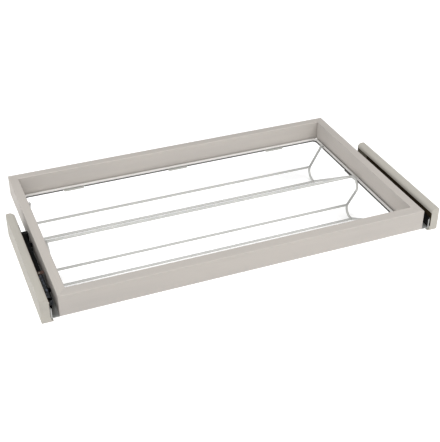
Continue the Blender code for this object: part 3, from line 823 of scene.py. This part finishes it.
b = Build()
gap = 0.0012
DROP_LONG, DROP_SIDE = 5.5, 7.6
LIP_LONG, LIP_SIDE = 20.0, 84.0
edges_x = [-TAB_X[2] - TAB_W / 2 - gap, -TAB_X[2] + TAB_W / 2 + gap,
           -TAB_W / 2 - gap, TAB_W / 2 + gap]
for sy in (-1, 1):
    for x0, x1 in ((edges_x[1], edges_x[2]), (edges_x[3], -edges_x[1])):
        strip_run(b, [(x0, sy * RING_Y), (x1, sy * RING_Y)],
                  lambda p, q=sy: (0, q), (DROP_LONG, DROP_LONG),
                  (LIP_LONG, LIP_LONG))
for sx in (-1, 1):
    for sy in (-1, 1):
        cx, cy = sx * (RING_X - RING_BEND), sy * (RING_Y - RING_BEND)
        path, drops = [(sx * -edges_x[0], sy * RING_Y)], [DROP_LONG]
        lips = [LIP_LONG]
        for t in range(0, 91, 10):
            a = math.radians(t)
            path.append((cx + sx * RING_BEND * math.sin(a),
                         cy + sy * RING_BEND * math.cos(a)))
            drops.append(DROP_LONG + (DROP_SIDE - DROP_LONG) * t / 90)
            lips.append(LIP_LONG + (LIP_SIDE - LIP_LONG) * t / 90)
        path.append((sx * RING_X, TAB_SIDE_Y + sy * (TAB_SIDE_W / 2 + gap)))
        drops.append(DROP_SIDE)
        lips.append(LIP_SIDE)

        def out(p, cx=cx, cy=cy, sx=sx, sy=sy):
            if sy * (p[1] - cy) <= 1e-6:
                return (sx, 0)
            if sx * (p[0] - cx) <= 1e-6:
                return (0, sy)
            v = Vector((p[0] - cx, p[1] - cy)).normalized()
            return (v.x, v.y)
        strip_run(b, path, out, drops, lips)
# A pad of the same dark strip under each side tab's inner end.
for sx in (-1, 1):
    b.loft([[D(sx * (RING_X + u / 1000), y, RING_Z + z / 1000) for u, z in
             ((-3.4, -5.9), (1.5, -5.9), (1.5, -9.0), (1.0, -9.5),
              (-2.9, -9.5), (-3.4, -9.0))] for y in (0.0020, 0.0330, 0.0640)])
b.make("ring_under_strip", [M_UNDER_STRIP], "tray", (), None, 30.0, True)


def turned(profile, sides=28):
    """Rings of a turned solid about +Z: (height, radius)."""
    rings = []
    for h, r in profile:
        rings.append([Vector((r * math.cos(2 * math.pi * i / sides),
                              r * math.sin(2 * math.pi * i / sides), h))
                      for i in range(sides)])
    return rings


def screw_mesh(length, radius, head_r, head_h, flat):
    """Cross-recess screw along +Z, its head's seat at z = 0, head below."""
    b = Build()
    if flat:
        prof = [(-0.0001, head_r * 0.86), (0.0, head_r), (0.0002, head_r),
                (head_h, radius)]
    else:
        prof = [(-head_h, head_r * 0.55), (-head_h * 0.92, head_r * 0.74),
                (-head_h * 0.66, head_r * 0.93), (-head_h * 0.3, head_r),
                (-0.0001, head_r), (0.0, head_r * 0.97), (0.0001, radius)]
    pitch = 0.0011
    z = prof[-1][0] + 0.0012
    while z < length - 0.0024:
        prof += [(z, radius * 0.82), (z + pitch * 0.30, radius * 0.82),
                 (z + pitch * 0.55, radius), (z + pitch * 0.75, radius * 0.82)]
        z += pitch
    prof += [(length - 0.0022, radius * 0.8), (length - 0.0002, radius * 0.12)]
    b.loft(turned(prof))
    body = b.mesh("screw")
    top = prof[0][0]
    c = Build()
    for turn in (0, 1):
        rings = []
        for h, a, w in ((top - 0.001, head_r * 0.62, 0.00042),
                        (top + 0.0001, head_r * 0.58, 0.00040),
                        (top + 0.0011, head_r * 0.20, 0.00030)):
            box = [(-a, -w), (a, -w), (a, w), (-a, w)]
            if turn:
                box = [(-y, x) for x, y in box]
            rings.append([Vector((x, y, h)) for x, y in box])
        c.loft(rings)
        body = cut(body, c.mesh("recess"))
        c = Build()
    return body


def screw(name, mesh, base, axis, body, node):
    m = mesh.copy()
    turn = Vector(axis).to_track_quat('Z', 'Y').to_matrix().to_4x4()
    m.transform(Matrix.Translation(base) @ turn)
    place(name, m, [M_SCREW], body, (node,), 32.0, False, "screw_zinc")


TAB_SCREW = screw_mesh(0.0178, 0.0017, 0.0036, 0.0021, False)
for spot, (axis, sign, where, width, reach) in TABS.items():
    screw("screw_tab_" + spot, TAB_SCREW,
          tab_point(axis, sign, 0.015 * 0.55, where, TAB_LOW - 0.0002),
          (0, 0, 1), "tray", "tab_screw_" + spot)

for corner in ("front_left", "front_right", "back_left", "back_right"):
    NODES["corner_biscuit_" + corner].data.materials.clear()
    NODES["corner_biscuit_" + corner].data.materials.append(M_BEECH)

# ------------------------------------------------------------------- spacers
SPACER_OUT, SPACER_IN, SPACER_Y, SPACER_Z = 0.4835, 0.4625, (-0.2695, 0.0905), (
    -0.006, 0.052)
# The second number is how many faces of the left rounded edge take the painted shade.
LIP, SHADE_LAP = 0.004, 6


def spacer(side, s):
    z0, z1 = SPACER_Z
    r, big, wide, lip_x = 0.0016, 0.0070, 0.0105, SPACER_IN - LIP
    width = SPACER_OUT - SPACER_IN
    prof, edge = [], []

    def put(points, e):
        for p in points:
            prof.append(p)
            edge.append(e)

    put(arc(SPACER_OUT - r, z0 + r, r, -90, 0, 5), 1.0)
    put(arc(SPACER_OUT - r, z1 - r, r, 0, 90, 5), 1.0)
    put([(SPACER_IN + wide + (x - SPACER_IN - big) * wide / big, z) for x, z in
         arc(SPACER_IN + big, z1 - big, big, 90, 180, 10)], 0.5)
    put([(SPACER_IN, z1 - big - 0.0024)], 0.0)
    put([(SPACER_IN + 0.0006, z1 - big - 0.0030), (SPACER_IN + 0.0006, 0.0052)],
        0.0)
    put([(SPACER_IN, 0.0046)], 0.0)
    put(arc(lip_x, z0 + 0.0016 + LIP, LIP, 0, -90, 7), 0.0)
    put(arc(lip_x, z0 + 0.0008, 0.0008, 90, 270, 5), 1.0)
    n = len(prof)
    rings, attr = [], []
    y0, y1 = SPACER_Y[0] + 0.00003, SPACER_Y[1]
    r_in, r_out = 0.0055, 0.004
    stations = [(y0, 0.0005, 0.0005, 0.0005), (y0 + 0.0005, 0, 0, 0),
                (y0 + 0.02, 0, 0, 0), (y1 - 0.052, 0, 0, 0)]
    for i in range(0, 10):
        a = math.radians(10 * i)
        stations.append((y1 - r_in * (1 - math.sin(a)),
                         r_in * (1 - math.cos(a)), 0, 0))
    stations[-1] = (y1 - 0.00005, r_in, 0, 0.0004)
    for y, din, dout, dz in stations:
        back = y1 - y
        if back < r_out:
            dout = r_out - math.sqrt(max(0.0, r_out ** 2 - (r_out - back) ** 2))
        tail = 1.0 if back > r_in + 0.004 else max(
            0.0, (back - r_in) / 0.004)
        ring = []
        for x, z in prof:
            if x < SPACER_IN:
                x = SPACER_IN - (SPACER_IN - x) * tail
            k = (SPACER_OUT - x) / width
            nx = x + din * k - dout * (1 - k)
            nz = z + dz * (1 if z < 0.02 else -1)
            ring.append(D(s * nx, y, nz))
        rings.append(ring)
        attr.append(edge)
    b = Build()
    b.loft(rings, 0, attr)
    # The recessed band of the inner face is painted near black as shade of the deep gap
    # beside the slide, and dark olive as painted shade behind the slide's end. On the left
    # the painted shade laps onto the rounded edge, which faces away from the light.
    recess_band = [i for i, (x, z) in enumerate(prof)
             if abs(x - SPACER_IN - 0.0006) < 1e-6]
    a0 = recess_band[0]
    for fi in range(len(b.f) - 2):
        row, at = divmod(b.f[fi][0], n)
        if a0 - (SHADE_LAP if s < 0 else 0) <= at <= a0 and row < 3:
            b.fm[fi] = 1
        elif at == a0:
            b.fm[fi] = 2
    return b


for side, s in (("left", -1), ("right", 1)):
    spacer(side, s).make("spacer_board_" + side, [M_SPACER, M_GAP_SHADE, M_REAR_SHADE],
                         "cabinet_sides", ("spacer_" + side,), "edge", 40.0,
                         True, "spacer_foil")

# -------------------------------------------------------------------- slides
# Cross-sections in millimetres: u from the spacer's inner face towards the
# tray, h from the slide's centre line.
SLIDE_ZC = 0.01575
ANGLE_Y, MEMBER_Y = (-0.2665, 0.0360), (-0.234, 0.0245)
MIDDLE_Y, DRAWER_Y = (-0.232, 0.0215), (-0.234, 0.0225)
STOP_Y = (0.0250, 0.0360)
OUTER_CAGE_Y, INNER_CAGE_Y = (-0.158, -0.048), (-0.155, -0.045)
CABINET_SCREW_Y, DRAWER_SCREW_Y = (-0.205, 0.005), (-0.190, -0.005)


def slide_point(s, u, y, h, base=SLIDE_ZC):
    return D(s * (SPACER_IN - u / 1000), y, base + h / 1000)


def sheet(points, bends, thick):
    """Outline of a bent sheet from its middle line."""
    path, _ = bent_path(points, bends, 6)
    left, right_side = [], []
    for i, p in enumerate(path):
        t = Vector((0.0, 0.0))
        if i:
            t += (p - path[i - 1]).normalized()
        if i < len(path) - 1:
            t += (path[i + 1] - p).normalized()
        t.normalize()
        n = Vector((-t.y, t.x)) * thick / 2
        left.append(p + n)
        right_side.append(p - n)
    return left + right_side[::-1]


def drawn(s, outline, *ys, base=SLIDE_ZC):
    """A bent sheet drawn along Y through the given stations, as a mesh."""
    b = Build()
    b.loft([[slide_point(s, p.x, y, p.y, base) for p in outline] for y in ys])
    return b.mesh("drawn")


def slots(s, rows, base=SLIDE_ZC):
    """Cutters: (u, h, y, half length, radius) through the web."""
    b = Build()
    for u, h, y, half, r in rows:
        shape = [(half + r * math.cos(t), r * math.sin(t)) for t in
                 (math.radians(v) for v in range(-90, 91, 15))]
        shape += [(-a, -c) for a, c in shape]
        b.loft([[slide_point(s, u + d, y + a / 1000, h + c, base)
                 for a, c in shape] for d in (-1.4, 1.4)])
    return b.mesh("slots")


def ball_row(b, s, u, h, y0, y1, count, r=1.22):
    for k in range(count):
        c = slide_point(s, u, y0 + (y1 - y0) * (k + 0.5) / count, h)
        verts, faces, rings, sides = [], [], 8, 12
        for i in range(1, rings):
            t = math.pi * i / rings
            for j in range(sides):
                w = 2 * math.pi * j / sides
                verts.append(c + Vector((math.sin(t) * math.cos(w),
                                         math.sin(t) * math.sin(w),
                                         math.cos(t))) * r / 1000)
        verts += [c + Vector((0, 0, r / 1000)), c - Vector((0, 0, r / 1000))]
        top, low = len(verts) - 2, len(verts) - 1
        for i in range(rings - 2):
            for j in range(sides):
                e = (j + 1) % sides
                faces.append((i * sides + j, (i + 1) * sides + j,
                              (i + 1) * sides + e, i * sides + e))
        last = (rings - 2) * sides
        for j in range(sides):
            e = (j + 1) % sides
            faces += [(top, j, e), (low, last + e, last + j)]
        b.shell(verts, faces, 1)


CABINET_SCREW = screw_mesh(0.0146, 0.0018, 0.0036, 0.0019, True)
DRAWER_SCREW = screw_mesh(0.0190, 0.0018, 0.0036, 0.0020, False)

for side, s in (("left", -1), ("right", 1)):
    # Angle: galvanised lower flange, back leg painted near black as shade, front tab in a
    # lighter zinc as painted light.
    mesh = drawn(s, sheet([(18.9, 0.6), (0.8, 0.6), (0.8, 29.0)], (1.7,), 1.0),
                 *ANGLE_Y, base=0.0)
    bracket = place("slide_bracket_" + side, mesh, [M_ZINC, M_ANGLE_SHADE],
                    "cabinet_sides", ("slide_angle_" + side,), 30.0, True,
                    "slide_zinc")
    # Painted shade: the upright leg and bend take the near-black copy.
    for poly in bracket.data.polygons:
        if len(poly.vertices) == 4 and poly.center.z - OZ > 0.0016:
            poly.material_index = 1
    b = Build()
    y0 = ANGLE_Y[0] + 0.0002
    tab = [(1.45, 1.3), (3.0, 1.3), (3.2, 2.0), (3.2, 20.4), (3.4, 21.6),
           (3.4, 23.0), (3.0, 23.8), (1.45, 23.6)]
    b.loft([[slide_point(s, u, y, h, 0.0) for u, h in tab]
            for y in (y0, y0 + 0.0002, y0 + 0.0011, y0 + 0.0013)])
    # Painted light: the front tab takes a lighter copy of the zinc.
    b.make("slide_front_tab_" + side, [M_ANGLE_LIT], "cabinet_sides", (), None, 30.0)

    # Cabinet member: C section with rolled-in lips.
    mesh = drawn(s, sheet([(9.5, 12.6), (9.5, 13.75), (2.1, 13.75),
                           (2.1, -13.75), (9.5, -13.75), (9.5, -12.6)],
                          (0.7, 1.4, 1.4, 0.7), 1.0),
                 MEMBER_Y[0], -0.2, -0.1415, MEMBER_Y[1])
    mesh = cut(mesh, slots(s, [(2.1, 0.0, y, 5.0, 2.2) for y in
                               (-0.165, -0.100, -0.035)]))
    mesh = cut(mesh, slots(s, [(2.1, 0.0, y, 0.0, 3.85) for y in
                               CABINET_SCREW_Y]))
    outer = place("slide_outer_" + side, mesh, [M_BLACK, M_FLANGE_LIT],
                  "cabinet_sides", ("slide_cabinet_member_" + side,), 30.0, True,
                  "slide_dark_steel")
    # Painted light: the top flange's front part takes the lighter bluish grey.
    for poly in outer.data.polygons:
        if poly.center.y - OY < -0.13 and poly.center.z - OZ > 0.0285:
            poly.material_index = 1

    # Middle member.
    mesh = drawn(s, sheet([(11.5, 9.85), (4.4, 9.85), (4.4, -9.85),
                           (11.5, -9.85)], (1.3, 1.3), 1.0), *MIDDLE_Y)
    mesh = cut(mesh, slots(s, [(4.4, 0.0, y, 7.0, 2.6) for y in
                               (-0.205, -0.150, -0.100, -0.045, 0.002)]))
    place("slide_middle_" + side, mesh, [M_BLACK], "middle_" + side,
          ("slide_middle_member_" + side,), 30.0, True, "slide_dark_steel")

    # Drawer member with two pressed bosses that stand on the rail.
    mesh = drawn(s, sheet([(6.2, 5.95), (13.1, 5.95), (13.1, -5.95),
                           (6.2, -5.95)], (1.3, 1.3), 1.0), *DRAWER_Y)
    mesh = cut(mesh, slots(s, [(13.1, 0.0, y, 6.0, 1.9) for y in
                               (-0.215, -0.150, -0.110, -0.070, -0.035)]
                           + [(13.1, 0.0, y, 0.0, 2.1) for y in
                              DRAWER_SCREW_Y]))
    drawer = place("slide_inner_" + side, mesh, [M_BLACK], "tray",
                   ("slide_drawer_member_" + side,), 30.0, True,
                   "slide_dark_steel")
    b = Build()
    for y in DRAWER_SCREW_Y:
        rings = [(0.0, 5.8), (0.5, 5.45), (1.2, 5.1), (4.1, 4.75), (4.75, 4.45),
                 (5.05, 4.0), (5.05, 2.2), (0.0, 2.2)]
        b.loft([[slide_point(s, 13.62 + d, y + r / 1000 * math.cos(w),
                             r * math.sin(w))
                 for w in (2 * math.pi * k / 24 for k in range(24))]
                for d, r in rings], closed=True)
    b.make("slide_bosses_" + side, [M_BLACK], "tray", (), None, 35.0)

    # Moulded cap on the drawer member's front end.
    b = Build()
    rings = []
    for y, inset in ((DRAWER_Y[0] - 0.0016, 0.5), (DRAWER_Y[0] - 0.0013, 0.15),
                     (DRAWER_Y[0] - 0.0009, 0.0), (DRAWER_Y[0] - 0.0001, 0.0)):
        rings.append([slide_point(s, u, y, h) for u, h in
                      rounded(6.2 + inset, 13.5 - inset, -6.4 + inset,
                              6.4 - inset, 1.0, 4)])
    b.loft(rings)
    b.make("slide_cap_" + side, [M_CAP], "tray", (), None, 35.0)

    # Ball cages.
    for label, web, tip, level, u, ys, count in (
            ("outer", 3.25, 9.4, 11.8, 7.0, OUTER_CAGE_Y, 12),
            ("inner", 5.55, 10.9, 7.9, 8.8, INNER_CAGE_Y, 12)):
        mesh = drawn(s, sheet([(tip, level), (web, level), (web, -level),
                               (tip, -level)], (0.9, 0.9), 0.45), *ys)
        rows = [(web, 0.0, ys[0] + (ys[1] - ys[0]) * k / 4, 6.0, level * 0.45)
                for k in (1, 2, 3)]
        mesh = cut(mesh, slots(s, rows))
        place("%s_cage_strip_%s" % (label, side), mesh, [M_CAGE],
              "%s_cage_%s" % (label, side),
              ("%s_ball_cage_%s" % (label, side),), 30.0, True, "cage_steel")
        b = Build()
        for way in (-1, 1):
            ball_row(b, s, u, way * level, ys[0] + 0.003, ys[1] - 0.003, count)
        b.fm = [0] * len(b.fm)
        b.make("%s_cage_balls_%s" % (label, side), [M_BALL],
               "%s_cage_%s" % (label, side), (), None, 60.0)

    # End stop: moulded block with a ribbed top and a relief in its back.
    u0, u1, h0, h1 = 1.6, 17.7, 1.5, 30.0
    b = Build()
    rings = []
    for y, inset in ((STOP_Y[0], 0.7), (STOP_Y[0] + 0.0003, 0.3),
                     (STOP_Y[0] + 0.0009, 0.0), (STOP_Y[1] - 0.0014, 0.0),
                     (STOP_Y[1] - 0.0005, 0.4), (STOP_Y[1], 1.1)):
        rings.append([slide_point(s, u, y, h, 0.0) for u, h in
                      rounded(u0 + inset, u1 - inset, h0 + inset, h1 - inset,
                              2.2, 5)])
    b.loft(rings)
    c = Build()
    for k in range(4):
        y = STOP_Y[0] + 0.0022 + k * 0.0021
        c.loft([[slide_point(s, u, y + dy, h, 0.0) for dy, h in
                 ((-0.0004, h1 - 0.9), (0.0004, h1 - 0.9), (0.0006, h1 + 1),
                  (-0.0006, h1 + 1))] for u in (u0 + 2.2, u1 - 2.2)])
    c.loft([[slide_point(s, u, y, h, 0.0) for u, h in
             rounded(u0 + 4, u1 - 4, h0 + 6, h1 - 7, 2.0, 4)]
            for y in (STOP_Y[1] - 0.0022, STOP_Y[1] + 0.001)])
    place("slide_stop_" + side, cut(b.mesh("stop"), c.mesh("ribs")), [M_STOP],
          "cabinet_sides", ("slide_end_stop_" + side,), 30.0, True,
          "stop_plastic")

    # Copper-brown detent leaf on the cabinet member's top flange.
    b = Build()
    rings = []
    y0, y1 = -0.1465, -0.1350
    for i in range(13):
        t = i / 12
        u = 2.4 + 14.6 * t
        lift = 0.28 + 0.9 * max(0.0, t - 0.55) ** 2 * 6
        w = 1.0 if t < 0.75 else math.sqrt(max(0.05, 1 - ((t - 0.75) / 0.27) ** 2))
        m = (y0 + y1) / 2
        h = (y1 - y0) / 2 * w
        rings.append([slide_point(s, u, y, z, 0.0300) for y, z in
                      ((m - h, lift), (m - h, lift + 0.8), (m - h * 0.9, lift + 1.0),
                       (m + h * 0.9, lift + 1.0), (m + h, lift + 0.8), (m + h, lift))])
    b.loft(rings)
    for y in ((y0 + y1) / 2,):
        b.loft([[slide_point(s, 6.0 + r * math.cos(w), y + r / 1000 * math.sin(w),
                             z, 0.0300)
                 for w in (2 * math.pi * k / 18 for k in range(18))]
                for z, r in ((0.6, 2.1), (1.5, 2.1), (1.9, 1.7), (2.1, 1.0))], 1)
    b.make("slide_detent_leaf_" + side, [M_COPPER, M_SCREW], "cabinet_sides", (),
           None, 35.0)

    for where, y in zip(("front", "rear"), CABINET_SCREW_Y):
        screw("screw_cabinet_%s_%s" % (where, side), CABINET_SCREW,
              slide_point(s, 2.5, y, 0.0), (s, 0, 0), "cabinet_sides",
              "cabinet_screw_%s_%s" % (where, side))
    for where, y in zip(("front", "rear"), DRAWER_SCREW_Y):
        screw("screw_drawer_%s_%s" % (where, side), DRAWER_SCREW,
              slide_point(s, 12.3, y, 0.0), (-s, 0, 0), "tray",
              "drawer_screw_%s_%s" % (where, side))

# ---------------------------------------------------------- floor and lights
floor_mat = Mat("floor", (0.93, 0.93, 0.93), 0.9, spec=0.05)
cloud = floor_mat.noise((1.3, 1.3, 1.3), detail=2)
floor_mat.colour(floor_mat.mix(floor_mat.span(cloud, 0.3, 0.7),
                               (0.925, 0.925, 0.925), (0.935, 0.935, 0.935)))
floor_mat.bsdf.inputs["Emission Color"].default_value = (1.0, 1.0, 1.0, 1.0)
far = floor_mat.node("ShaderNodeVectorMath", operation='LENGTH')
floor_mat.link(floor_mat.mapped((1.0, 1.0, 0.0)), far.inputs[0])
floor_mat.link(floor_mat.span(far.outputs["Value"], 0.7, 2.0, *FLOOR_GLOW),
               floor_mat.bsdf.inputs["Emission Strength"])
floor_mesh = bpy.data.meshes.new("floor")
zf = CAD_LO.z - 0.0006
floor_mesh.from_pydata([(-30, -30, zf), (30, -30, zf), (30, 30, zf),
                        (-30, 30, zf)], [], [(0, 1, 2, 3)])
floor_mesh.materials.append(floor_mat.mat)
floor = bpy.data.objects.new("floor", floor_mesh)
scene.collection.objects.link(floor)

# A soft dome, brighter in front, with a white band along the horizon.
world = bpy.data.worlds.new("studio")
scene.world = world
world.use_nodes = True
tree = world.node_tree
back = tree.nodes["Background"]
way = tree.nodes.new("ShaderNodeTexCoord")
total = None
for aim, start, strength in DOME_LOBES:
    dot = tree.nodes.new("ShaderNodeVectorMath")
    dot.operation = 'DOT_PRODUCT'
    dot.inputs[1].default_value = Vector(aim).normalized()
    tree.links.new(way.outputs["Generated"], dot.inputs[0])
    ramp = tree.nodes.new("ShaderNodeMapRange")
    ramp.inputs["From Min"].default_value = start
    ramp.inputs["From Max"].default_value = 1.0
    ramp.inputs["To Min"].default_value = 0.0
    ramp.inputs["To Max"].default_value = strength
    tree.links.new(dot.outputs["Value"], ramp.inputs["Value"])
    plus = tree.nodes.new("ShaderNodeMath")
    plus.operation = 'ADD'
    tree.links.new(ramp.outputs["Result"], plus.inputs[0])
    if total is None:
        plus.inputs[1].default_value = DOME_BASE
    else:
        tree.links.new(total, plus.inputs[1])
    total = plus.outputs[0]
split = tree.nodes.new("ShaderNodeSeparateXYZ")
tree.links.new(way.outputs["Generated"], split.inputs["Vector"])
ramp = tree.nodes.new("ShaderNodeMapRange")
ramp.interpolation_type = 'SMOOTHSTEP'
ramp.inputs["From Min"].default_value = HORIZON[0]
ramp.inputs["From Max"].default_value = HORIZON[1]
ramp.inputs["To Min"].default_value = HORIZON[2]
ramp.inputs["To Max"].default_value = 0.0
tree.links.new(split.outputs["Z"], ramp.inputs["Value"])
plus = tree.nodes.new("ShaderNodeMath")
plus.operation = 'ADD'
tree.links.new(total, plus.inputs[0])
tree.links.new(ramp.outputs["Result"], plus.inputs[1])
tree.links.new(plus.outputs[0], back.inputs["Strength"])
back.inputs["Color"].default_value = (1.0, 1.0, 1.0, 1.0)


def area(name, place, target, size, power, colour=(1, 1, 1)):
    data = bpy.data.lights.new(name, 'AREA')
    data.shape = 'RECTANGLE'
    data.size, data.size_y = size
    data.energy = power
    data.color = colour
    obj = bpy.data.objects.new(name, data)
    obj.location = place
    obj.rotation_euler = (Vector(target) - Vector(place)).to_track_quat(
        '-Z', 'Y').to_euler()
    scene.collection.objects.link(obj)
    return obj


for number, (spot, size, power) in enumerate(KEYS):
    area("softbox_%d" % number, spot, (0.0, 0.0, 0.0), (size, size), power)

scene.view_settings.view_transform = 'Standard'
scene.view_settings.look = 'None'
scene.view_settings.exposure = 0.0
scene.view_settings.gamma = 1.0
